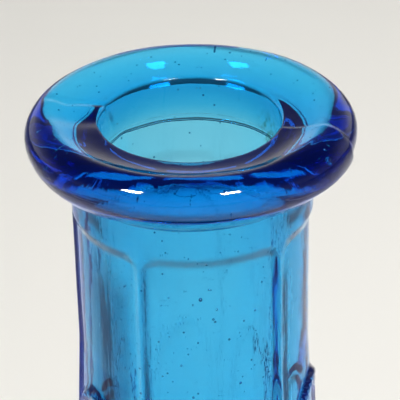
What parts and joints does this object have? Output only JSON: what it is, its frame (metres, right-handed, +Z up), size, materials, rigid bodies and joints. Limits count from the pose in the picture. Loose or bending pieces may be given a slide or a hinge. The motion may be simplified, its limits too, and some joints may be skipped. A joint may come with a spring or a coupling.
{
  "type": "glass bottle",
  "caption": "Six-sided mould-blown glass bottle with a rolled applied lip, an open bore, panelled neck and recessed arched sides, for holding a liquid under a cork.",
  "frame": {"origin": "centre of the base, in the plane that the bottle stands on", "axes": "+Z up along the bottle's axis, out of the mouth; -Y towards the middle of one side"},
  "size_m": [0.0614, 0.057, 0.22],
  "materials": {
    "blue_glass": "bright cerulean blue glass, transparent, with seeds, striae and a fire-polished surface",
    "lip_glass": "the same blue glass, deeper where it is thick, smooth and glossy from reheating",
    "scar_glass": "rough broken glass left by the pontil rod"
  },
  "bodies": {
    "root": {"blown_bottle": "blue_glass", "applied_lip": "lip_glass", "pontil_scar": "scar_glass"}
  },
  "joints": []
}
